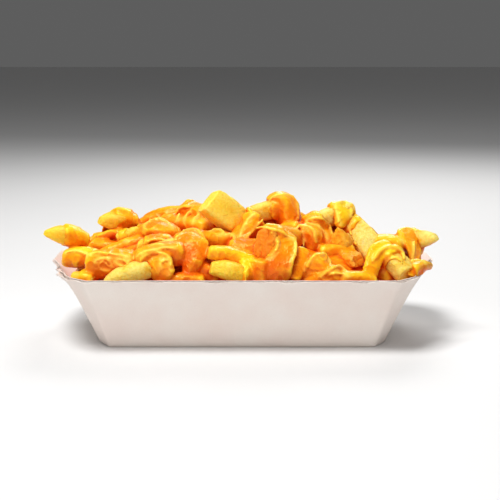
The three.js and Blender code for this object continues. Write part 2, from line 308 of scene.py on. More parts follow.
def makeFloor():
    bpy.ops.mesh.primitive_plane_add(size=12)
    floor = bpy.context.object
    floor.name = "floor"
    finish = Finish("pale_floor", Roughness=0.7)
    shade = finish.grain(finish.objectPlace(), 90, 1)
    finish.paint(finish.ramp(shade, [(0, (0.74, 0.735, 0.73, 1)), (1, (0.76, 0.755, 0.75, 1))]))
    setMaterial(floor, finish.material)


# The tray

tray = {
    "height": 37,
    "across": 1.65,                  # the leaning board, measured level
    "floor": 1.5,
    "base": {"straight": 66.5, "front": 36, "corner": 72.3, "cornerFront": 26, "end": 73.5, "back": 66.5},
    "rim": {"straight": 76.5, "front": 52.5, "corner": 86, "cornerFront": 43, "end": 101.3, "back": 85},
    "endPeak": 0.15,                 # where an end is widest, from -1 at its front to 1 at its back
    "endFull": 0.65,                 # how wide an end still is at its back
    "liner": 0.28,                   # the paper on each face
    "flute": 3.3,                    # from one wave to the next
    "flutePaper": 0.18,
    "columns": {"straight": 96, "chamfer": 16, "arc": 58},
    "fluteColumns": 6,               # for each column of the liners
    "walls": [3, 6, 10, 15, 20, 25, 29, 32, 34.5, 36, 36.7, 37],
    "chamfer": 13.4,                 # how long a corner panel is at the rim
    "scores": (0.4, 2.8),            # where the lines pressed beside its folds lie
    "scoreDeep": 0.22, "scoreHalf": 0.45,
    "warp": 0.35, "warpSize": 40,    # how far the rim leans out or in from place to place
    "rimStep": 0.75,                 # how much lower the outer paper ends
    "torn": (-91, -27), "tornLong": 6, "tornWide": 12,
    "fray": 3.2, "frayFrom": 33,     # how far the torn paper leans out, and from what height
    "longer": 1.6, "mapRadius": 85,  # for the wall's map: how much longer than deep, and a radius
}


def outlineSizes(z, inset):
    # the sizes that lie beside a bend move by a share of the inset only
    besideBend = tan(pi / 8)
    sizes = {}
    for key, low in tray["base"].items():
        share = 1 if key in ("front", "corner", "end") else besideBend
        sizes[key] = lerp(low, tray["rim"][key], z / tray["height"]) - share * inset
    return sizes


def endPoint(sizes, along):
    # a point of the right end, from -1 at its front to 1 at its back
    peak = tray["endPeak"]
    if along < peak:
        bulge = (along + 1) / (peak + 1)
    else:
        bulge = 1 - (1 - tray["endFull"]) * ((along - peak) / (1 - peak)) ** 4
    return lerp(sizes["corner"], sizes["end"], bulge), sizes["cornerFront"] * along


def outline(z, inset):
    # the corners of the tray's outline, anticlockwise
    sizes = outlineSizes(z, inset)
    right = [(sizes["straight"], -sizes["front"])]
    for along in (-1, -0.4, tray["endPeak"], 0.45, 0.75, 1):
        right.append(endPoint(sizes, along))
    right.append((sizes["back"], sizes["front"]))
    return right + [(-x, y) for x, y in reversed(right)]


def sideStations():
    # one entry for each column of board: the stretch it is on, and the share along it
    stations = []
    for half in (1, -1):
        for stretch in ("straight", "chamferIn", "arc", "chamferOut"):
            count = tray["columns"]["chamfer" if stretch.startswith("chamfer") else stretch]
            stations += [(half, stretch, (index + 0.5) / count) for index in range(count)]
    return stations


def wallPoint(station, z, inset):
    half, stretch, share = station
    sizes = outlineSizes(z, inset)
    nearer, further = ((sizes["straight"], -sizes["front"]), (sizes["back"], sizes["front"]))[::half]
    if stretch == "straight":
        begin, end = (-nearer[0], nearer[1]), nearer
    elif stretch == "chamferIn":
        begin, end = nearer, endPoint(sizes, -half)
    elif stretch == "chamferOut":
        begin, end = endPoint(sizes, half), further
    else:
        begin = end = endPoint(sizes, half * lerp(-1, 1, share))
    return Vector((half * lerp(begin[0], end[0], share), lerp(begin[1], end[1], share), z))


def scorePress(station):
    # how deep the fold lines beside a chamfer are pressed
    half, stretch, share = station
    if not stretch.startswith("chamfer"):
        return 0
    away = (share if stretch == "chamferIn" else 1 - share) * tray["chamfer"]
    lines = [exp(-((away - line) / tray["scoreHalf"]) ** 2) for line in tray["scores"]]
    return tray["scoreDeep"] * sum(lines)


def tornShare(place):
    # where the paper along the rim has frayed
    x, y = tray["torn"]
    return exp(-((place.x - x) / tray["tornLong"]) ** 2 - ((place.y - y) / tray["tornWide"]) ** 2)


def planNoise(place, size, level):
    # noise over the plan, its lumps about size across, another for each level
    return noise(Vector((place.x / size, place.y / size, level)))


def rimWobble(place, lower):
    # the cut edge rises and falls a little, more so on the outer paper, and is torn at the left front
    quick = planNoise(place, 3.1, 9)
    wobble = 0.28 * planNoise(place, 26, 3) + 0.12 * quick + tornShare(place) * (1.6 * quick - 0.5)
    if lower:
        wobble -= tray["rimStep"] * (0.75 + 1.1 * planNoise(place, 9, 21)) + 0.25 * abs(quick)
    return wobble


def rimWarp(point, z):
    # how near the rim a height is, and a point there moved out or in by the rim's slow warp
    rim = easeIn(0.6, 1, z / tray["height"])
    warp = tray["warp"] * planNoise(point, tray["warpSize"], z / 30)
    return rim, point + Vector((point.x / 100, point.y / 50, 0)) * warp * rim


def boardPlace(stations, rings, lower=False):
    def place(along, angle):
        z, inset, scale = rings[round(along * (len(rings) - 1))]
        station = stations[round(angle / (2 * pi) * len(stations)) % len(stations)]
        rim, point = rimWarp(wallPoint(station, z, inset + scorePress(station) * (scale == 1)), z)
        point.z += rim * rimWobble(point, lower)
        fray = tornShare(point) * easeIn(tray["frayFrom"], tray["height"], z)
        point.x -= fray * tray["fray"] * (0.7 + 1.2 * noise(point / 2.5))
        return Vector((point.x * scale, point.y * scale, point.z))
    return place


def addPanelMap(board):
    # a map in metres: round the wall and up it
    layer = board.data.uv_layers.new(name="panel")
    for loop in board.data.loops:
        point = board.data.vertices[loop.vertex_index].co
        angle = atan2(point.y * tray["longer"], point.x)
        layer.data[loop.index].uv = (angle * tray["mapRadius"] * mm, point.z)


def makeTray():
    stations = sideStations()
    liner, floor = tray["liner"], tray["floor"]
    deep = tray["across"] - liner
    # the height of each ring, how far in it lies, and its scale, which is small on the floor
    outerRings = [(0, 0, scale) for scale in (0.02, 0.5, 0.9, 0.975)] + [(0.12, 0.35, 1), (0.7, 0.05, 1)]
    outerRings += [(z, 0, 1) for z in tray["walls"]]
    innerRings = [(floor - liner, deep, scale) for scale in (0.02, 0.9, 0.975)] + [(floor + 0.3, deep, 1)]
    innerRings += [(z, deep, 1) for z in tray["walls"]]
    pieces = []
    for name, rings in (("outer_liner", outerRings), ("inner_liner", innerRings)):
        sheet = addTube(name, len(stations), len(rings), openEnds=(1,))
        shapeTube(sheet, boardPlace(stations, rings, lower=rings is outerRings))
        applyModifier(sheet, "SOLIDIFY", thickness=liner * mm, offset=-1)
        pieces.append(sheet)
    pieces.append(makeFlutes(stations))
    board = joinPieces(pieces, "board_tray")
    shadeSmooth(board, 35)
    addPanelMap(board)
    setMaterial(board, boardFinish())
    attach(board, "root")
    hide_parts("tray")
    print("tray:", len(board.data.polygons), "faces")


def makeFlutes(stations):
    # the waved paper between the liners, which shows along the cut rim
    perStation = tray["fluteColumns"]
    rings = [1.2, 20, 36, tray["height"] - 0.12]
    columns = len(stations) * perStation
    middle = tray["across"] / 2
    swing = middle - tray["liner"] - tray["flutePaper"] / 2
    run = [finePoint(stations, column / perStation, tray["height"], middle) for column in range(columns)]
    travelled = [0.0]
    for before, after in zip(run, run[1:]):
        travelled.append(travelled[-1] + (after - before).length)
    waves = round(travelled[-1] / tray["flute"])

    def place(along, angle):
        column = round(angle / (2 * pi) * columns) % columns
        z = rings[round(along * (len(rings) - 1))]
        wave = sin(2 * pi * waves * travelled[column] / travelled[-1])
        rim, point = rimWarp(finePoint(stations, column / perStation, z, middle + swing * wave), z)
        point.z += rim * (rimWobble(point, False) - 0.35)
        return point

    flutes = shapeTube(addTube("flutes", columns, len(rings), openEnds=(1, -1)), place)
    applyModifier(flutes, "SOLIDIFY", thickness=tray["flutePaper"] * mm, offset=0)
    return flutes


def finePoint(stations, where, z, inset):
    # a point between two stations
    low = int(where) % len(stations)
    high = (low + 1) % len(stations)
    return wallPoint(stations[low], z, inset).lerp(wallPoint(stations[high], z, inset), where % 1)


def boardFinish():
    finish = Finish("white_lined_board", Roughness=0.78, Specular_IOR_Level=0.3)
    place = finish.objectPlace()
    cloud = finish.grain(place, 22, 3)
    fibre = finish.grain(place, 0.9, 4, 0.65)
    fleck = finish.node("ShaderNodeTexVoronoi", None, {"Vector": place, "Scale": 260.0})
    base = finish.ramp(cloud, [(0.3, colour(238, 223, 214)), (0.72, colour(242, 233, 225))])
    flecks = finish.ramp(fleck, [(0.02, white), (0.07, black)])
    finish.paint(base, [(fibre * 0.16, (196, 182, 170)), (flecks * 0.22, (178, 160, 146))])
    across = finish.node("ShaderNodeUVMap", {"uv_map": "panel"})
    bands = pi / (20 * tray["flute"] * mm)
    inputs = {"Vector": across, "Scale": bands, "Distortion": 0.6, "Detail": 1.0, "Detail Scale": 0.6}
    ribs = finish.node("ShaderNodeTexWave", {"bands_direction": "X"}, inputs, output="Fac")
    finish.emboss([(ribs, 0.1, 0.25), (fibre, 0.35, 0.12), (cloud, 0.25, 0.8)])
    return finish.material


# The heap, and the rules by which fries are laid where none shows. Millimetres and degrees

heap = {"edge": 38, "crown": 29, "halfLength": 103, "halfDepth": 54, "coreDepth": 9, "clearance": 0.3,
        "sky": 95}          # a height that is over all the food

fill = {
    "layers": [(5, 4000, 34, 16), (12, 1400, 6, -60)],    # depth, tries, most, nearest to the front
    "length": (27, 42),
    "thick": (7.6, 9.6),
    "spacing": 7.4,
    "wallGap": 4,           # from their skin to the walls
    "wrapFrom": (-0.05, 0.55), "wrapRun": (0.3, 0.75), "wrapThick": (1.2, 2.4),
    "wrapped": 0.75,        # the share of the fries with a wrap
    "hidden": 10, "coat": 1.2,      # fries deeper than this are coated all over
    "roll": 30, "bow": 1.5,
}

# Sheets of cheese laid by rule over the back of the heap
backSheets = {"count": 8, "angles": (0.12, 0.88), "widest": (11, 17), "start": (0.3, 0.45), "stride": 0.17,
              "points": 4, "turn": 0.12, "above": 0.4, "thick": 2}


# Where the fries lie. Each has both ends of its centre line, its width, thickness and roll, and where
# cheese wraps it, as start, end and thickness
def fry(start, end, wide, thick, roll=0, wraps=(), bow=1.0, tips=(1, 1), skew=(0, 0), tone=None, rough=1,
        sharp=1):
    # tone goes from 0 for a pale fry to 1 for a deep yellow one, rough and sharp are 1 for a usual cut
    return {"start": Vector(start), "end": Vector(end), "wide": wide, "thick": thick, "roll": roll,
            "wraps": list(wraps), "bow": bow, "tips": tips, "skew": skew, "tone": tone, "rough": rough,
            "sharp": sharp}


shownFries = [
    # left end
    fry((-100, -20, 55.5), (-80, -12, 50), 9.5, 9, 10, [(0.42, 1, 0.7)], tips=(0.3, 0.8), tone=0.8),
    fry((-79, 4, 43), (-57, -4, 40), 9, 8.5, 0, [(0, 1, 1.2)]),
    fry((-79, 12, 44), (-60, 10, 44), 9, 8.5, 0, [(0, 1, 1.2)]),
    fry((-89.5, -20, 42.8), (-73, -26, 43), 8.5, 7.5, 0, [(0, 1, 1)]),
    fry((-76, -32, 41), (-53, -36, 42), 11.5, 11.5, 0, [(0, 1, 1.2)]),
    fry((-85, -35, 35), (-73.6, -38.5, 33.5), 7, 6.5, 0, [(0.4, 1, 1)]),
    fry((-76, 10, 57), (-57, 16, 55), 10, 9.5, 15, [(0.38, 1, 0.7)], tips=(0.4, 0.9), tone=0.6),
    fry((-64, 1, 48), (-44, 2, 52), 8.5, 8.5, 0, [(0, 0.24, 0.9), (0.5, 1, 1.2)]),
    # left of the middle
    fry((-56, 30, 50), (-29, 26, 57), 8, 8, 0, [(0, 1, 1.2)], bow=1.5),
    fry((-31, 16, 60), (-17, 2, 59), 9, 9, 10, [(0, 1, 1.4)]),
    fry((-42, 12, 53), (-18, -4, 54), 9, 9, 0, [(0, 1, 1.4)]),
    fry((-67.5, -42, 32.5), (-44, -42, 41.8), 10.5, 10.5, 8, tips=(0.5, 0.8), tone=0),
    fry((-53, -22, 47), (-36, -20, 49), 8, 8, 0, [(0.2, 1, 1.6)]),
    fry((-51, -38, 44), (-30, -34, 48), 9, 8, 0, [(0, 1, 2)]),
    fry((-42, -30, 47.5), (-4, -16, 47.8), 9, 8.5, 0, [(0.2, 1, 2.2)], bow=3),
    fry((-41, -43, 33.5), (-19, -43, 34), 7, 7, 0, [(0, 1, 1)]),
    fry((-28, -34, 41), (-12, -36, 36), 9, 8, 0, [(0, 1, 1.2)]),
    # middle
    fry((-17.4, -12, 71), (5.4, -4, 50.6), 15.5, 8.5, 65, [(0.8, 1, 1.6)], tips=(0.92, 1), skew=(0.1, 0),
        tone=0.5, rough=1.3, sharp=2.2),
    fry((3, -4, 61), (21, 0, 65), 10.5, 9.5, 0, [(0, 0.12, 0.6), (0.62, 1, 0.7)], tone=0.3),
    fry((8, 4, 57), (30, 6, 57), 8, 8, 0, [(0, 1, 1)]),
    fry((8, -12, 60), (-3, -19, 50), 9, 7, 0, [(0, 1, 1.2)]),
    fry((-16.5, -38, 48.7), (6, -36, 42.5), 8, 7.5, 5, [(0, 1, 0.6)], tips=(0.65, 1)),
    fry((-15.5, -43, 41.7), (2, -42, 37), 10, 9.5, -5, [(0.88, 1, 1.6)], tips=(0.65, 1), tone=0.8),
    fry((11, -38, 53), (25, -16, 48), 11, 15.5, 12, [(0.1, 0.95, 1.6)], tone=1.75, rough=3),
    fry((9, -40.5, 45), (8, -42, 33), 11, 8, 0, [(0, 1, 1)]),
    fry((21, -8, 52), (39, -16, 51), 9, 9, 0, [(0, 0.48, 2.6), (0.5, 1, 2.6)]),
    # right of the middle
    fry((34, -10, 56), (56.5, 0, 64), 10, 9.5, 0, [(0, 0.32, 1.6), (0.58, 0.8, 1.6)], tone=-0.2),
    fry((38, -8, 54), (47, -13, 46), 9, 8, 0, [(0, 1, 1.4)]),
    fry((55, -4, 57), (69, -18, 43), 13.5, 8, 50, [(0, 0.22, 0.8)], tone=-0.3),
    fry((48.6, -21, 58), (49.5, -18, 42), 11, 8.5, 10, [(0.6, 1, 1)], tips=(0.15, 1), tone=1.3, rough=2),
    fry((39, -22, 44.5), (56, -19, 44.5), 8, 8, 0, [(0, 1, 0.9)]),
    fry((57.3, -33, 43.3), (50, -14, 41), 10, 7, -6, [(0.4, 1, 1)], tips=(0.8, 1), tone=1.4, rough=2.4),
    fry((41, -38, 44), (27, -35, 31), 11, 10, 0, [(-0.04, 1, 1.6)]),
    fry((47, -43, 39), (32, -40, 31), 8, 7, 0, [(-0.04, 1, 1.6)]),
    fry((48, -44, 36), (65, -42, 34), 8, 7, 0, [(0, 1, 0.9)]),
    # right end
    fry((82.5, -36, 36.5), (71.5, -28, 46), 12.5, 10, -10, [(0.64, 1, 1.2)], tone=0.05),
    fry((68, -27, 43), (72, -30, 32), 10, 9, 0, [(0, 1, 1)]),
    fry((99.8, -12, 52), (76, 2, 43.5), 10, 9, 10, [(0.34, 0.72, 2.2), (0.74, 1, 1.2)], tips=(0.35, 1),
        tone=-0.2),
    fry((62, -12, 47), (81, -14, 47), 9, 8, 0, [(0.3, 1, 1.8)]),
    fry((83, -36, 40), (94, -25, 39.6), 8, 4.5, 0, [(0, 1, 0.6)], tips=(1, 0.5)),
]


# Sheets of cheese that hang over the fries: the middle line and its width at each point
def ribbon(line, widths, thick=2.4, curl=0.0, folds=0.0, lump=0.8):
    # curl is how far its edges bend down, folds how deep its lengthwise folds are, lump how uneven it is
    return {"line": [Vector(point) for point in line], "widths": widths, "thick": thick, "curl": curl,
            "folds": folds, "lump": lump}


shownRibbons = [
    ribbon([(-26.3, -26, 56), (-25.4, -34, 52.7), (-24.4, -38, 47.8), (-25.3, -41, 42.9), (-26.6, -43, 37.5)],
           [17, 17.5, 14, 10, 5.5], thick=3.5, curl=1.6, lump=0.3),
    ribbon([(-52, -3, 48), (-48, -6, 52.5), (-43, -8, 53.5), (-38, -9, 51.5), (-35, -10, 46)],
           [12, 15, 15.5, 14, 11], thick=12, lump=0.3),
    ribbon([(-42, -15, 53), (-40, -16, 49), (-38, -17, 45)], [10, 10, 6], curl=1),
    ribbon([(15.5, 0, 65.5), (19, 1, 68), (22.3, 0, 66), (23.8, -2, 60), (23.8, -3, 53)],
           [12, 13.5, 13.5, 12.5, 12], thick=12, lump=0.15),
    ribbon([(83, -6, 54.5), (85.5, -12, 51), (87.5, -17, 45.5), (88.5, -21, 38.5)], [12, 12, 9, 6], thick=3,
           lump=0.2),
    ribbon([(51.6, -2, 68.3), (51.8, -8, 64.4), (50.8, -11, 60.6), (50, -13, 56.8)],
           [8.5, 9, 7.5, 4.5], curl=1, lump=0.2),
    ribbon([(11, -33, 60.8), (16, -33, 59), (21, -34, 56.5), (26.5, -36, 53)], [5, 6, 7, 6], thick=3,
           lump=0.4),
    ribbon([(21.8, -33, 57), (21.6, -39, 52), (19, -43.5, 46.8), (16.6, -46, 41.4), (15.6, -46.5, 35)],
           [10, 11.5, 13, 16, 19], thick=3, folds=0.1, lump=0.25),
    ribbon([(30, -35, 50.5), (27.8, -41, 44.5), (25.5, -45.5, 36)], [8, 7.5, 6], thick=3),
    ribbon([(1.5, -40, 44.5), (2.2, -44.5, 41), (2.5, -46.3, 35.5)], [8, 9.5, 9], thick=4, curl=1.2,
           lump=1.3),
    ribbon([(-77, 6, 47.5), (-70.5, 7, 50), (-63, 8, 51)], [6, 7.5, 6], thick=5),
    ribbon([(74.8, -30, 50.5), (68.5, -33, 49), (64.6, -38, 43.5), (62.3, -42.5, 36)],
           [9.5, 9.5, 8.5, 8], thick=3.5, lump=0.25),
    ribbon([(-42, -40, 48), (-41, -44, 46), (-40, -46, 41), (-40, -46, 35)], [13, 14, 14, 13], curl=0.8),
    ribbon([(81.5, -38, 39), (86.5, -34.5, 39.2), (91, -28, 39)], [5, 7, 5], thick=2),
    ribbon([(5.4, -15, 65.3), (3.9, -19, 60.7), (0.9, -23, 54.7), (-2.6, -26.5, 49.2)], [12, 8.5, 6.5, 5],
           thick=3.5, curl=1),
]


# Raised lines in the cheese: the rolled edges of its sheets, and where it lies in curls. Each has its
# radius, and its points as the camera sees them, by the x and z on the plane through the tray's middle.
shownFolds = [
    # left end
    (0.8, [(-93, 41.5), (-91, 42.2), (-87, 42.5), (-83, 41), (-80, 39.5)]),
    (0.9, [(-82, 39.5), (-80, 41), (-77, 41.5), (-72, 41), (-67, 40.5), (-62, 39.5), (-57, 38.5)]),
    (0.6, [(-78, 33.5), (-77, 37), (-73, 38.5), (-70, 37), (-69, 33), (-71, 31.5), (-75, 32.5),
           (-75, 35), (-73, 36.5), (-71, 34.5)]),
    (0.5, [(-67, 36.5), (-65, 34.5), (-62, 34.5), (-60, 36.5)]),
    (0.5, [(-66, 38.5), (-62, 37), (-59, 37.5)]),
    (0.9, [(-56, 38.5), (-54, 40.5), (-51, 42), (-46, 43), (-41, 44), (-36, 44)]),
    (1, [(-54, 36.5), (-51, 40), (-46, 41.5), (-41, 40.5), (-38, 37.5), (-38, 33.5), (-38, 29)]),
    (0.6, [(-43, 33), (-43, 36), (-40, 37.5), (-38, 36)]),
    (0.9, [(-52, 45.5), (-51, 46.5), (-48, 48), (-44, 48.5), (-40, 47.5), (-38, 45.5)]),
    (0.5, [(-47, 46), (-44, 46.5), (-42, 46)]),
    # left of the middle
    (0.9, [(-51, 53), (-51, 56.5), (-47, 59), (-43, 59.5), (-39, 57.5), (-37, 54), (-38, 50.5)]),
    (1, [(-34, 64), (-31, 65.5), (-27, 66), (-23, 64.5)]),
    (0.8, [(-33, 62.5), (-34, 59.5), (-35, 57)]),
    (0.8, [(-27, 63.5), (-30, 60.5), (-30, 57)]),
    (0.6, [(-23, 62), (-25, 60), (-26, 57.5)]),
    (1.1, [(-36, 48), (-34, 50), (-31, 52.5), (-28, 53.5), (-24, 53.5), (-22, 52), (-20, 48.5),
           (-20, 45)]),
    (0.8, [(-19, 51.5), (-16, 52.5), (-11, 53.5), (-8, 53.5)]),
    # middle
    (0.7, [(-17, 53), (-15, 54), (-12, 54), (-10, 52.5), (-12, 50.5), (-14, 50.5)]),
    (0.9, [(-9, 51), (-6, 51.5), (-4, 48.5), (-5, 45)]),
    (0.8, [(6, 62), (3, 59), (0, 54), (-2, 49.5)]),
    (0.8, [(11, 59.5), (8, 56), (4, 51.5), (0, 47), (-2, 44.5)]),
    (1, [(14, 68.5), (16, 71), (21, 72.5), (25, 71.5), (28, 68.5), (29, 64.5), (29, 59)]),
    (1, [(7, 54.5), (10, 55), (15, 54), (20, 52), (24, 50), (28, 48)]),
    (1.1, [(15, 52.5), (18, 48.5), (18, 43.5), (14, 37.5)]),
    (0.8, [(28, 47.5), (28, 42), (26, 36), (25, 28.5)]),
    # right of the middle
    (0.9, [(24, 53.5), (28, 54.5), (30, 55.5), (34, 55.5), (37, 53.5), (38, 49.5), (39, 45)]),
    (0.8, [(28, 53.5), (31, 51.5), (32, 48.5), (32, 44.5)]),
    (0.9, [(33, 58), (36, 59.5), (41, 59.5), (45, 56), (47, 52)]),
    (0.7, [(34, 57.5), (39, 56), (43, 52), (44, 48.5)]),
    (0.9, [(48, 67), (50, 68.5), (54, 68.5), (55, 67.5)]),
    (0.8, [(48, 66.5), (49, 63.5), (50, 59.5), (51, 56)]),
    (0.8, [(55, 66.5), (57, 64), (56, 60), (54, 57)]),
    (0.6, [(55, 56), (57, 51), (60, 45), (62, 42.5)]),
    (1.2, [(32, 28), (34, 34), (37, 39), (41, 40.5), (44, 39.5), (46, 36.5)]),
    (1, [(41, 28), (45, 31.5), (48, 33.5), (51, 34), (54, 32.5), (55, 30)]),
    (0.7, [(45, 29), (48, 30.5), (53, 30), (56, 28.5)]),
    (1.3, [(65, 28.5), (67, 33), (69, 38), (72, 42), (76, 44.5), (80, 44), (84, 41.5), (85, 37.5)]),
    (0.9, [(74, 34.5), (77, 37.5), (80, 39), (83, 37.5), (84, 35.5)]),
    # right end
    (1, [(81, 51.5), (83, 53.5), (86, 54.5), (90, 53.5), (94, 53)]),
    (0.8, [(83, 48.5), (85, 44.5), (86, 40), (87, 36)]),
    (0.7, [(90, 48.5), (90, 42.5), (89, 38)]),
    (0.7, [(88, 37.5), (92, 37.5), (96, 36.5)]),
]


class Draws:
    # numbers from 0 to 1, the same on every run
    def __init__(self, seed):
        self.drawn = seed

    def next(self):
        self.drawn = (self.drawn * 1664525 + 1013904223) % 4294967296
        return self.drawn / 4294967296

    def between(self, low, high):
        return lerp(low, high, self.next())

    def place(self, size):
        # somewhere in a cube of that size, to shift a noise by
        return Vector((self.next(), self.next(), self.next())) * size


draws = Draws(2024)


def heapTop(x, y):
    share = 1 - (x / heap["halfLength"]) ** 2 - (y / heap["halfDepth"]) ** 2
    return heap["edge"] + heap["crown"] * max(0, share)


def heapNormal(point):
    crown = heap["crown"]
    return Vector((2 * crown * point[0] / heap["halfLength"] ** 2,
                   2 * crown * point[1] / heap["halfDepth"] ** 2, 1)).normalized()


def sectionAxes(direction, up, roll=0):
    forward = direction.normalized()
    up = (up - forward * up.dot(forward)).normalized()
    up = Quaternion(forward, radians(roll)) @ up
    return up.cross(forward), up, forward


def insideOutline(x, y, points):
    for index, (px, py) in enumerate(points):
        nx, ny = points[(index + 1) % len(points)]
        if (nx - px) * (y - py) - (ny - py) * (x - px) <= 0:
            return False
    return True


def fitsTray(candidate, gap):
    for end in (candidate["start"], candidate["end"]):
        level = min(end.z, tray["height"])
        inset = tray["across"] + gap + candidate["wide"] / 2
        if not insideOutline(end.x, end.y, outline(level, inset)):
            return False
    return True


def gapBetween(one, other):
    least = inf
    line = other["end"] - other["start"]
    for step in range(5):
        place = one["start"].lerp(one["end"], step / 4)
        share = clamp((place - other["start"]).dot(line) / line.length_squared)
        least = min(least, (other["start"] + line * share - place).length)
    return least


def heapPoint(angle, reach, aside=0, along=0):
    # a point of the heap's plan, reach being 1 at its edge
    return (reach * heap["halfLength"] * cos(angle) + aside,
            reach * heap["halfDepth"] * sin(angle) + along)


def fillFry(depth):
    angle = 2 * pi * draws.next()
    reach = sqrt(draws.next())
    heading = pi * draws.next()
    half = draws.between(*fill["length"]) / 2
    thick = draws.between(*fill["thick"])
    ends = []
    for sign in (-half, half):
        x, y = heapPoint(angle, reach, sign * cos(heading), sign * sin(heading))
        ends.append((x, y, heapTop(x, y) - depth))
    wrapStart = draws.between(*fill["wrapFrom"])
    wrapEnd = min(1.04, wrapStart + draws.between(*fill["wrapRun"]))
    wrapped = draws.next() < fill["wrapped"]
    wraps = [(wrapStart, wrapEnd, draws.between(*fill["wrapThick"]))] if wrapped else []
    if depth > fill["hidden"]:
        wraps = [(0, 1, fill["coat"])]
    roll = draws.between(-fill["roll"], fill["roll"])
    return fry(ends[0], ends[1], thick, thick, roll, wraps, bow=fill["bow"])


def layFries(laid, tries, most, depths, suits):
    # adds the fries that suit to those laid, until there are most of them. Depths is one depth or a range
    for attempt in range(tries):
        if len(laid) >= most:
            break
        candidate = fillFry(draws.between(*depths) if isinstance(depths, tuple) else depths)
        if suits(candidate):
            laid.append(candidate)
    return laid


def clearOf(candidate, others, gap):
    return all(gapBetween(candidate, other) >= gap for other in others)


def layFillFries():
    laid = list(shownFries)
    for depth, tries, most, nearest in fill["layers"]:
        layFries(laid, tries, len(laid) + most, depth, lambda candidate: (
            fitsTray(candidate, fill["wallGap"])
            and candidate["start"].y + candidate["end"].y >= 2 * nearest
            and clearOf(candidate, laid, fill["spacing"])))
    return laid[len(shownFries):]


def fillRibbons():
    rules = backSheets
    ribbons = []
    for index in range(rules["count"]):
        angle = lerp(*rules["angles"], (index + 0.6 * draws.next()) / rules["count"]) * pi
        widest = draws.between(*rules["widest"])
        start = draws.between(*rules["start"])
        line, widths = [], []
        for step in range(rules["points"]):
            turn = angle + rules["turn"] * (draws.next() - 0.5)
            x, y = heapPoint(turn, start + rules["stride"] * step)
            line.append((x, y, heapTop(x, y) + rules["above"]))
            widths.append(widest * lerp(0.6, 1, sin(pi * (step + 0.7) / (rules["points"] + 0.4))))
        ribbons.append(ribbon(line, widths, thick=rules["thick"]))
    return ribbons


# Fries

cut = {
    "columns": 32, "rows": 40,
    "squareness": 3.6,
    "blister": 0.3, "blisterSize": 1.5,
    "lump": 0.45, "lumpSize": 12,
    "endRough": 0.45, "endSize": 1.3, "endReach": 0.6,
    "twist": 9,             # degrees from end to end
    "slant": 0.3, "slantReach": 2.5,    # how a cut face leans, and how far in that is felt
    "curve": 0.9,           # how far a fry's middle lies aside
    "edges": (0.8, 1.25),   # how sharp its edges are, from fry to fry
    "tipLength": 9, "tipPower": 1.6,
    "edgeRow": 0.45,        # from a cut face to the next row
    "fibreRun": 0.3,        # how much the streaks are drawn out along a fry
    "underCoat": 0.7,       # how much thinner a fry is that is coated all over
}

endRings = [0.34, 0.68, 0.9]      # the sizes of the rings on a cut face


def fryLine(one):
    run = one["end"] - one["start"]
    axes = sectionAxes(run, upward, one["roll"])

    def at(share):
        bow = 4 * one["bow"] * share * (1 - share)
        return one["start"].lerp(one["end"], share) + axes[1] * bow

    return at, axes, run.length


def squared(angle, power):
    # a point on a rounded square of half width 1
    across, over = cos(angle), sin(angle)
    size = (abs(across) ** power + abs(over) ** power) ** (-1 / power)
    return across * size, over * size


def tipSize(one, along, length):
    # how much a fry narrows towards its ends
    size = 1
    for tip, away in ((one["tips"][0], along), (one["tips"][1], length - along)):
        share = clamp(away / cut["tipLength"])
        size *= lerp(tip, 1, 1 - (1 - share) ** cut["tipPower"])
    return size


def fryRow(along, length):
    # how far along the fry a row is, and how large: the first and last rows lie on the cut faces
    rows = cut["rows"]
    row = round(along * (rows - 1))
    near = min(row, rows - 1 - row)
    if near < len(endRings):
        return (0 if row == near else length), endRings[near]
    first = len(endRings)
    share = slowEnds(row - first, rows - 1 - 2 * first)
    return lerp(cut["edgeRow"], length - cut["edgeRow"], share), 1


def shapeFry(blank, one, index):
    at, (side, up, forward), length = fryLine(one)
    own = Draws(index * 977 + 5)
    own.next()
    twist = radians(own.between(-1, 1) * cut["twist"])
    slants = [own.between(-cut["slant"], cut["slant"]) for end in range(4)]
    slants[0] += one["skew"][0]
    slants[2] += one["skew"][1]
    curve = own.between(-cut["curve"], cut["curve"])
    power = cut["squareness"] * one["sharp"] * own.between(*cut["edges"])
    offset = own.place(90)
    coated = any(start <= 0 and end >= 1 for start, end, thick in one["wraps"])
    inset = cut["underCoat"] if coated else 0
    fibres = []

    def place(along, angle):
        run, ring = fryRow(along, length)
        share = run / length
        away = min(run, length - run)
        size = ring * tipSize(one, run, length)
        across, over = squared(angle, power)
        across *= size * one["wide"] / 2 - inset * ring
        over *= size * one["thick"] / 2 - inset * ring
        fibres.extend((across + offset.x, over + offset.y, run * cut["fibreRun"]))
        turn = twist * (share - 0.5)
        across, over = (across * cos(turn) - over * sin(turn),
                        across * sin(turn) + over * cos(turn))
        first = 0 if run < length / 2 else 2
        slant = slants[first] * across + slants[first + 1] * over
        point = at(share) + side * across + up * over
        point += (forward * slant * exp(-away / cut["slantReach"])
                  + side * curve * 4 * share * (1 - share))
        spot = Vector((across, over, run * 0.6))
        swell = cut["blister"] * one["rough"] * noise(spot / cut["blisterSize"] + offset)
        swell += cut["lump"] * noise(spot / cut["lumpSize"] + offset * 2)
        rough = cut["endRough"] * noise(spot / cut["endSize"] + offset)
        rough *= exp(-away / cut["endReach"])
        rough *= one["rough"]
        return point + (side * across + up * over).normalized() * swell + forward * rough

    piece = shapeCopy(blank, "fry", place)
    tone = own.next() if one["tone"] is None else one["tone"]
    addValues(piece, "tone", [tone] * len(piece.data.vertices))
    addValues(piece, "fibre", fibres, "FLOAT_VECTOR")
    return piece


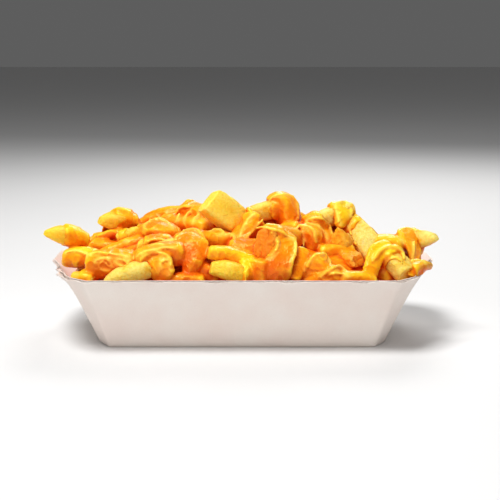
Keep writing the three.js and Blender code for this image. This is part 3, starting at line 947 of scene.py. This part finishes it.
def makeFries(fries):
    blank = addTube("fry_blank", cut["columns"], cut["rows"])
    pieces = [shapeFry(blank, one, index) for index, one in enumerate(fries)]
    bpy.data.objects.remove(blank)
    joined = joinPieces(pieces, "fries")
    shadeSmooth(joined, 60)
    setMaterial(joined, potatoFinish())
    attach(joined, "root")
    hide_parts("cheese_fries")
    print("fries:", len(fries), "of them,", len(joined.data.polygons), "faces")
    return joined


def potatoFinish():
    finish = Finish("fried_potato", Roughness=0.42, Subsurface_Weight=0.5, Subsurface_Scale=0.005,
                    Subsurface_Radius=(1.0, 0.62, 0.22), Specular_IOR_Level=0.32,
                    Specular_Tint=(1, 0.85, 0.4, 1))
    place = finish.objectPlace()
    cloud = finish.grain(place, 9, 3)
    speck = finish.grain(place, 1.5, 3, 0.65)
    smear = finish.mask(finish.grain(place, 5, 3, 0.6), 0.55, 0.68)
    streak = finish.grain(finish.attribute("fibre", "Vector"), 2 / mm)    # these places are in millimetres
    base = finish.ramp(cloud * 0.45 + streak * 0.25 + finish.attribute("tone") * 0.45 - 0.1, [
        (0.15, colour(255, 234, 138)), (0.45, colour(255, 221, 84)), (0.7, colour(255, 202, 46)),
        (1.0, colour(243, 128, 20))])
    lightShare = finish.attribute("painted_light")
    # painted shade: the fry turns orange where little painted light falls, in hollows and on faces turned
    # down
    shadeShare = finish.ramp(lightShare, [(0.08, white), (0.3, (0.5, 0.5, 0.5, 1)), (0.64, black)])
    finish.paint(base, [
        # painted highlight on the sharp edges, fading with the painted shade
        (finish.attribute("ridge_highlight") * lightShare * 0.8, (255, 232, 120)),
        (finish.mask(speck, 0.42, 0.62) * 0.5, (255, 196, 38)),
        (smear * 0.45, (255, 184, 24)),
        (finish.attribute("stain") * (smear * 0.8 + 0.45), (255, 178, 22)),
        (finish.attribute("tone") - 1, (240, 118, 20)),
        (shadeShare, (240, 118, 16))])
    finish.emboss([(speck, 0.75, 1), (streak, 0.35, 0.8)])
    return finish.material


# Cheese

sauce = {
    "columns": 28, "rows": 26,
    "roundness": 2.7,
    "lip": 1.5,             # how far from its edge a wrap is at full thickness, in thicknesses
    "ragged": 1.7,          # how far the edge wanders
    "under": -0.35,         # where the edge starts, in thicknesses over the fry's skin
    "bead": 0.2,            # how much thicker it is just behind the edge
    "closed": 1.3,          # how far a wrap goes over the end of its fry, in thicknesses
    "dome": 2.4, "domePower": 2.6,      # how long its rounded end is there, and how full
    "wander": 2.2,          # how quickly the edge wanders round a fry
    "sag": 0.55,            # extra thickness underneath
    "lump": 0.65, "lumpSize": 9,
    "wrinkle": 0.4, "wrinkleSize": 6, "wrinkleHalf": 0.16,
    "uneven": 0.12, "unevenSize": 2.2,
    "sheetSquareness": 2.4,
    "rolled": 0.35,         # how much thicker a sheet is along its edges
    "foldJump": 3,          # how far a fold's points may lie nearer or further than its middle one
    "voxel": 0.55,
    "mostTriangles": 190000,
}


def shapeWrap(blank, one, wrap, index):
    at, (side, up, forward), length = fryLine(one)
    start, end, thick = wrap
    own = Draws(index * 613 + 11)
    own.next()
    offset = own.place(70)
    ragged, past, lip = sauce["ragged"], sauce["closed"] * thick, sauce["lip"] * thick
    closedStart, closedEnd = start <= 0.02, end >= 0.98
    low = -past if closedStart else start * length - ragged
    high = length + past if closedEnd else end * length + ragged

    def edgeRise(away, closed):
        # from just under the fry's skin up to the full thickness
        if closed:
            return 1
        if away <= 0:
            return sauce["under"]
        rise = sqrt(1 - (1 - min(1, away / lip)) ** 2)
        return lerp(sauce["under"], 1, rise) + sauce["bead"] * exp(-((away - 1.3 * lip) / lip) ** 2)

    def domeSize(away, closed):
        # a wrap that goes over the end of its fry closes with a rounded edge
        if not closed:
            return 1
        share = clamp(away / (sauce["dome"] * thick))
        return sqrt(max(0.0004, 1 - (1 - share) ** sauce["domePower"]))

    def place(along, angle):
        run = lerp(low, high, slowEnds(along))
        spot = at(run / length)
        around = Vector((cos(angle), sin(angle), 0)) * sauce["wander"]
        wander = [ragged * noise(around + Vector((0, 0, level)) + offset) for level in (0, 7)]
        rise = min(edgeRise(run - start * length - wander[0], closedStart),
                   edgeRise(end * length - run - wander[1], closedEnd))
        dome = domeSize(run - low, closedStart) * domeSize(high - run, closedEnd)
        across, over = squared(angle, sauce["roundness"])
        direction = (side * across + up * over).normalized()
        skin = (spot + direction * one["wide"] / 2) / sauce["lumpSize"]
        swell = thick * rise * (1 + sauce["sag"] * max(0, -direction.z))
        swell += max(0, rise) * sauce["lump"] * noise(skin + offset)
        tip = tipSize(one, min(length, max(0, run)), length)
        wide, deep = ((tip * one[size] / 2 + swell) * dome for size in ("wide", "thick"))
        return spot + side * across * wide + up * over * deep

    return shapeCopy(blank, "wrap", place)


def smoothLine(points, share):
    # a point on a smooth curve through the points
    count = len(points) - 1
    where = min(count - 1e-6, share * count)
    index = int(where)
    part = where - index
    before = points[max(0, index - 1)]
    first, second = points[index], points[index + 1]
    after = points[min(count, index + 2)]
    return (first * 2 + (second - before) * part
            + (before * 2 - first * 5 + second * 4 - after) * part ** 2
            + (first * 3 - before - second * 3 + after) * part ** 3) * 0.5


def smoothFrame(points, share):
    # the point of a smooth curve at a share along it, and the axes across it there
    centre = smoothLine(points, share)
    direction = smoothLine(points, clamp(share + 0.02)) - smoothLine(points, clamp(share - 0.02))
    return centre, sectionAxes(direction, heapNormal(centre))


def shapeRibbon(blank, one, index, ground=None):
    points, thick, lump = one["line"], one["thick"], one["lump"]
    sizes = [Vector((width, 0, 0)) for width in one["widths"]]
    length = sum((after - before).length for before, after in zip(points, points[1:]))
    own = Draws(index * 331 + 17)
    own.next()
    offset = own.place(50)

    def place(along, angle):
        share = slowEnds(along)
        centre, (side, up, forward) = smoothFrame(points, share)
        width = smoothLine(sizes, share).x
        away = min(share, 1 - share) * length
        close = sqrt(max(0.002, 1 - (1 - min(1, away / (0.5 * width))) ** 2))
        across, over = squared(angle, sauce["sheetSquareness"])
        wander = 1 + 0.2 * lump * noise(centre / 5 + offset + Vector((round(across), 0, 0)) * 9)
        middle = centre + side * across * close * wander * width / 2
        middle -= up * one["curl"] * across ** 2
        middle += up * one["folds"] * cos(across * 5 + 2 * noise(centre / 9 + offset))
        middle += up * lump * noise(middle / 6 + offset)
        if ground:
            middle.z = groundHeight(ground, middle) + thick * 0.3
        return middle + up * over * thick / 2 * (1 + sauce["rolled"] * across ** 6) * min(1, close * 1.6)

    return shapeCopy(blank, "ribbon", place)


def landFold(tree, line):
    # the points of a fold brought onto the food that the camera sees there
    eye = cameraPlace()
    sights, lengths = [], []
    for x, z in line:
        for drop in range(12):                    # a point just over the outline comes down to it
            sight = (Vector((x, 0, z - drop / 2)) - eye).normalized()
            hit = tree.ray_cast(eye * mm, sight)[0]
            if hit:
                break
        sights.append(sight)
        lengths.append((hit / mm - eye).length if hit else eye.length)
    middle = sorted(lengths)[len(lengths) // 2]
    jump = sauce["foldJump"]
    return [eye + sight * min(middle + jump, max(middle - jump, length))
            for sight, length in zip(sights, lengths)]


def shapeFold(blank, points, thickest):
    def place(along, angle):
        share = slowEnds(along)
        centre, (side, up, forward) = smoothFrame(points, share)
        radius = thickest * (0.35 + 0.65 * sin(pi * share) ** 0.6)
        radius *= 1 + 0.3 * noise(centre / 4)
        return centre + (side * cos(angle) + up * sin(angle)) * radius

    return shapeCopy(blank, "fold", place)


def groundHeight(ground, place):
    # the height of what lies below, evened out over a few millimetres
    total = 0
    for dx, dy in ((0, 0), (1.8, 0), (-1.8, 0), (0, 1.8), (0, -1.8)):
        above = Vector((place.x + dx, place.y + dy, heap["sky"]))
        hit = ground.ray_cast(above * mm, -upward)[0]
        total += max(place.z - 6, hit.z / mm if hit else 0) / 5    # a sheet sinks by 6 mm at most
    return total


def surfaceTree(pieces):
    points, faces = [], []
    for piece in pieces:
        first = len(points)
        points += [point.co.copy() for point in piece.data.vertices]
        faces += [[first + index for index in face.vertices] for face in piece.data.polygons]
    return BVHTree.FromPolygons(points, faces)


def wrinkle(piece):
    # thin raised lines that wander over the cheese, and a slight unevenness
    moves = []
    for point in piece.data.vertices:
        spot = point.co / mm
        bent = spot + noise_vector(spot / 6) * 2.5
        line = max(0, 1 - abs(noise(bent / sauce["wrinkleSize"])) / sauce["wrinkleHalf"])
        move = sauce["wrinkle"] * line * line * (3 - 2 * line) * (0.5 + noise(spot / 11))
        move += sauce["uneven"] * noise(spot / sauce["unevenSize"])
        moves.append(point.normal * move * mm)
    for point, move in zip(piece.data.vertices, moves):
        point.co += move


def makeCheese(fries, ribbons, friesPiece):
    blank = addTube("cheese_blank", sauce["columns"], sauce["rows"])
    pieces = []
    for one in fries:
        for wrap in one["wraps"]:
            pieces.append(shapeWrap(blank, one, wrap, len(pieces)))
    for one in shownRibbons:
        pieces.append(shapeRibbon(blank, one, len(pieces)))
    seen = surfaceTree([friesPiece] + pieces)
    folds = [(radius, landFold(seen, line)) for radius, line in shownFolds]
    thin = addTube("fold_blank", 10, 30)
    pieces += [shapeFold(thin, points, radius) for radius, points in folds]
    bpy.data.objects.remove(thin)
    ground = surfaceTree([friesPiece] + pieces)
    for one in ribbons:
        pieces.append(shapeRibbon(blank, one, len(pieces), ground))
    bpy.data.objects.remove(blank)
    joined = joinPieces(pieces, "cheese")
    print("cheese: shapes joined")
    applyModifier(joined, "REMESH", mode="VOXEL", voxel_size=sauce["voxel"] * mm)
    applyModifier(joined, "SMOOTH", factor=0.5, iterations=2)
    wrinkle(joined)
    triangles = 2 * len(joined.data.polygons)
    if triangles > sauce["mostTriangles"]:
        applyModifier(joined, "DECIMATE", ratio=sauce["mostTriangles"] / triangles)
    shadeSmooth(joined)
    setMaterial(joined, cheeseFinish)
    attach(joined, "root")
    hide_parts("cheese_fries")
    print("cheese:", triangles, "triangles before thinning,", len(joined.data.polygons), "faces")
    return joined, folds


# The cheese's colours by its painted light share: its own orange turned red-orange by painted shade in
# hollows and on faces turned down, and yellow by painted light on lit tops
cheeseShadeStops = [(0.06, colour(196, 46, 12)), (0.29, colour(214, 72, 8)), (0.5, colour(232, 106, 8)),
               (0.67, colour(248, 141, 12)), (0.8, colour(254, 167, 18)), (1.0, colour(255, 208, 26))]

# Where the painted light and shade on the cheese is lighter or deeper than elsewhere: where the camera sees
# the patch, given as for the raised lines, its reach and how much lighter it makes the painted light there,
# below 0 for deeper painted shade
cheeseShadePatches = [
    ((-87, 48), 9, 0.35), ((-88, 37), 8, 0.25), ((-70, 35), 10, -0.12),
    ((-44, 53), 9, -0.24), ((-28, 49), 7, -0.2), ((-27, 39), 8, -0.34), ((-28, 31), 6, -0.3),
    ((-9, 40), 8, 0.35), ((1, 38), 5, 0.5), ((0, 31), 5, 0.4), ((19, 31), 9, -0.35),
    ((9, 33), 5, -0.35), ((1, 47), 5, -0.35), ((-7, 46.5), 4, -0.35),
    ((53, 64), 7, 0.4), ((76, 42), 10, 0.3),
]


def makeCheeseFinish():
    finish = Finish("melted_cheese", Roughness=0.3, Subsurface_Weight=0.2, Subsurface_Scale=0.003,
                    Subsurface_Radius=(1.0, 0.35, 0.05), Specular_IOR_Level=0.45, Coat_Weight=0.05,
                    Coat_Roughness=0.12, Specular_Tint=(1, 0.74, 0.2, 1))
    place = finish.objectPlace()
    cloud = finish.grain(place, 16, 2)
    ripple = finish.grain(place, 3.2, 3, 0.6)
    bent = finish.grain(place, 5, 3, 0.55)
    crease = finish.ramp(bent, [(0.44, black), (0.5, white), (0.56, black)])
    lightShare = finish.attribute("painted_light")
    # the base colour is painted light and shade, with a little random tone from the cloud
    base = finish.ramp((lightShare + (cloud - 0.5) * 0.25) * 0.8, cheeseShadeStops)
    finish.paint(base, [
        # painted highlight on the ridges, fading with the painted shade
        (finish.attribute("ridge_highlight") * lightShare, (255, 206, 40)),
        # painted highlight along the folds, fading with the painted shade
        (finish.attribute("fold_highlight") * lightShare * 0.9, (255, 228, 96))])
    finish.emboss([(crease, 0.35, 0.35), (ripple, 0.4, 0.7)])
    return finish.material


# The food under what shows

coreSettings = {
    "columns": 120, "rises": 22,
    "wallGap": 0.4, "lumpRoom": 1.2,    # from the walls, and more for its lumps
    "lump": 1.6, "lumpSize": 9, "lumpFrom": 22,
    "lower": 0.5, "sunk": 0.6,
    "crown": 24,
}

# Coated fries that lie between the ones that show and the core
deepSettings = {
    "columns": 16, "rows": 14,
    "across": 9.5, "squareness": 2.8,
    "depths": (8, 15), "tries": 7000, "count": 120, "spacing": 5.5,
    "below": 7.2,           # how far they stay from the fries that show, between centre lines
    "wallGap": 2.6,
    "edgeDepths": (2.5, 12), "edgeTries": 6000, "edgeCount": 46, "edgeSpacing": 5.7,
    "edgeNearest": 12,      # how far behind the middle the ones along the back wall start
    "edgeTop": 1,           # how far over the rim they may rise
}


def deepFries():
    # first along the back wall and the back halves of the ends, up to the rim, then under what shows
    deep = deepSettings
    laid = []

    def nearBack(candidate):
        middle = (candidate["start"] + candidate["end"]) / 2
        return (middle.z < heap["edge"] + deep["edgeTop"] and middle.y > deep["edgeNearest"]
                and fitsTray(candidate, deep["wallGap"]) and clearOf(candidate, laid, deep["edgeSpacing"]))

    def underneath(candidate):
        return (fitsTray(candidate, deep["wallGap"]) and clearOf(candidate, laid, deep["spacing"])
                and clearOf(candidate, shownFries, deep["below"]))

    layFries(laid, deep["edgeTries"], deep["edgeCount"], deep["edgeDepths"], nearBack)
    return layFries(laid, deep["tries"], deep["count"], deep["depths"], underneath)


def shapeDeepFry(blank, one):
    at, (side, up, forward), length = fryLine(one)
    half = deepSettings["across"] / 2

    def place(along, angle):
        share = slowEnds(along)
        away = min(share, 1 - share) * length
        close = sqrt(max(0.01, 1 - (1 - min(1, away / half)) ** 3))
        across, over = squared(angle, deepSettings["squareness"])
        outward = side * across + up * over
        point = at(share) + outward * half * close
        return point + outward * (0.9 * noise(point / 5) + 0.3 * noise(point))

    return shapeCopy(blank, "deep_fry", place)


def makeCore():
    core = coreSettings
    inset = tray["across"] + heap["clearance"] + core["wallGap"]
    shoulder = heap["edge"] - heap["coreDepth"] - core["lower"]
    rings = [(tray["floor"] + 0.5, 1.0), (12, 1.0), (20, 1.0)]
    for step in range(core["rises"]):
        rise = 0.99 * sin(pi / 2 * step / (core["rises"] - 1))
        rings.append((shoulder + core["crown"] * rise, sqrt(1 - rise)))
    stations = sideStations()

    def place(along, angle):
        z, scale = rings[round(along * (len(rings) - 1))]
        where = (angle / (2 * pi)) % 1 * len(stations)
        point = finePoint(stations, where, z, inset + core["lumpRoom"])
        point = Vector((point.x * scale, point.y * scale, z))
        lump = core["lump"] * noise(point / core["lumpSize"]) * (z > core["lumpFrom"])
        return point + heapNormal(point) * (lump - core["sunk"])

    pieces = [shapeTube(addTube("core", core["columns"], len(rings)), place)]
    blank = addTube("deep_blank", deepSettings["columns"], deepSettings["rows"])
    pieces += [shapeDeepFry(blank, one) for one in deepFries()]
    bpy.data.objects.remove(blank)
    piece = joinPieces(pieces, "core")
    shadeSmooth(piece)
    setMaterial(piece, cheeseFinish)
    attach(piece, "root")
    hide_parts("cheese_fries")
    print("core:", len(pieces) - 1, "coated fries,", len(piece.data.polygons), "faces")
    return piece


# Painted light and shade, for the colours: how open to the sky each point is and which way it faces, which
# darkens hollows and faces turned down with painted shade, and how sharply its surface bends there, for
# painted highlights on ridges

openDirections = [Vector(direction).normalized() for direction in (
    (0, 0, 1), (0.6, 0, 1), (-0.6, 0, 1), (0, 0.6, 1), (0, -0.6, 1), (1, 1, 0.7), (-1, 1, 0.7),
    (1, -1, 0.7), (-1, -1, 0.7), (1.2, 0, 0.4), (-1.2, 0, 0.4), (0, -1.2, 0.4), (0.6, -1, 0.15),
    (-0.6, -1, 0.15))]


colourSettings = {
    "sight": 28,            # from how far off the food around a point darkens it with painted shade
    "lowest": 0.56,         # how much painted light a point keeps that faces down, where 1 faces up
    "mostOpen": 1.5,        # a point is fully lit from this much of the sky
    "foldLine": 1.1,        # half the width of the painted highlight along a fold
    "foldSteps": 60,
    "stain": 2.6,           # how far the cheese colours a bare fry beside it
    "friesRounds": 6, "cheeseRounds": 12,
    "ridge_highlight": 0.8,           # how far a full ridge stands out
    "ridgeFrom": 0.3, "ridgeGain": 1.6,
}


def patchedLight(point):
    # how much the patches lighten or deepen the painted light and shade of the cheese at a point
    eye = cameraPlace()
    spot = eye + (point / mm - eye) * (eye.y / (eye.y - point.y / mm))
    pale = 1
    for (x, z), reach, gain in cheeseShadePatches:
        pale += gain * exp(-((spot.x - x) ** 2 + (spot.z - z) ** 2) / reach ** 2)
    return pale


def litShare(tree, point):
    # how much of the sky a point sees, weighed by how squarely it faces that part, times a painted shade for
    # faces that turn down: its share of painted light
    start = point.co + point.normal * 0.4 * mm
    sight = colourSettings["sight"] * mm
    seen, total = 0, 0.001
    for direction in openDirections:
        facing = point.normal.dot(direction)
        if facing > 0.05:
            hit = tree.ray_cast(start, direction, sight)
            total += facing
            seen += facing * (hit[3] / sight if hit[0] else 1)
    lit = lerp(colourSettings["lowest"], 1, easeIn(-0.4, 0.95, point.normal.z))
    return seen / total * min(1, total / colourSettings["mostOpen"]) * lit


# the painted light share of each point of the food: low in hollows and on faces turned down, and patched on
# the cheese
def addPaintedLight(pieces):
    tree = surfaceTree(pieces)
    for piece in pieces:
        patched = piece.name != "fries"
        addValues(piece, "painted_light", [litShare(tree, point) * (patchedLight(point.co) if patched else 1)
                                  for point in piece.data.vertices])
    print("openness: done")


def pointTree(spots):
    tree = KDTree(len(spots))
    for index, spot in enumerate(spots):
        tree.insert(spot, index)
    tree.balance()
    return tree


def addFoldHighlights(piece, folds):
    # 1 along the raised lines, fading out just beside them, more where they face up: the share of painted
    # highlight along the folds
    steps = colourSettings["foldSteps"]
    shares = [step / steps for step in range(steps + 1)]
    tree = pointTree([smoothLine(line, share) for radius, line in folds for share in shares])
    values = []
    for point in piece.data.vertices:
        away = tree.find(point.co / mm)[2]
        facing = easeIn(-0.2, 0.5, point.normal.z)
        values.append(facing * exp(-(away / colourSettings["foldLine"]) ** 2))
    addValues(piece, "fold_highlight", values)


def addStains(piece, cheese):
    # 1 where a fry meets the cheese on it, fading out beside it
    tree = pointTree([point.co / mm for point in cheese.data.vertices])
    values = []
    for point in piece.data.vertices:
        spot = point.co / mm
        reach = colourSettings["stain"] * (1 + 0.9 * noise(spot / 3))
        values.append(exp(-max(0, tree.find(spot)[2] - 0.5) / max(0.5, reach)))
    addValues(piece, "stain", values)


def readArray(parts, field, width, kind=float):
    # one field of all parts of a mesh, one row for each
    values = numpy.empty(len(parts) * width, dtype=kind)
    parts.foreach_get(field, values)
    return values.reshape(-1, width)


def addRidgeHighlights(piece, rounds):
    # 1 where the surface stands out from its surroundings, which more rounds make wider: the share of painted
    # highlight on ridges
    places = readArray(piece.data.vertices, "co", 3)
    normals = readArray(piece.data.vertices, "normal", 3)
    edges = readArray(piece.data.edges, "vertices", 2, numpy.int64)
    count = numpy.bincount(edges.ravel(), minlength=len(places)).reshape(-1, 1)
    even = places.copy()
    for turn in range(rounds):
        total = numpy.zeros_like(even)
        numpy.add.at(total, edges[:, 0], even[edges[:, 1]])
        numpy.add.at(total, edges[:, 1], even[edges[:, 0]])
        even = total / count
    out = ((places - even) * normals).sum(axis=1) / (colourSettings["ridge_highlight"] * mm)
    out = colourSettings["ridgeGain"] * (out - colourSettings["ridgeFrom"])
    addValues(piece, "ridge_highlight", numpy.clip(out, 0, 1))


makeCamera()
makeLights()
cheeseFinish = makeCheeseFinish()
makeFloor()
makeTray()
allFries = shownFries + layFillFries()
friesPiece = makeFries(allFries)
cheesePiece, landedFolds = makeCheese(allFries, fillRibbons(), friesPiece)
corePiece = makeCore()
addPaintedLight([friesPiece, cheesePiece, corePiece])
addRidgeHighlights(friesPiece, colourSettings["friesRounds"])
addRidgeHighlights(cheesePiece, colourSettings["cheeseRounds"])
addFoldHighlights(cheesePiece, landedFolds)
addStains(friesPiece, cheesePiece)
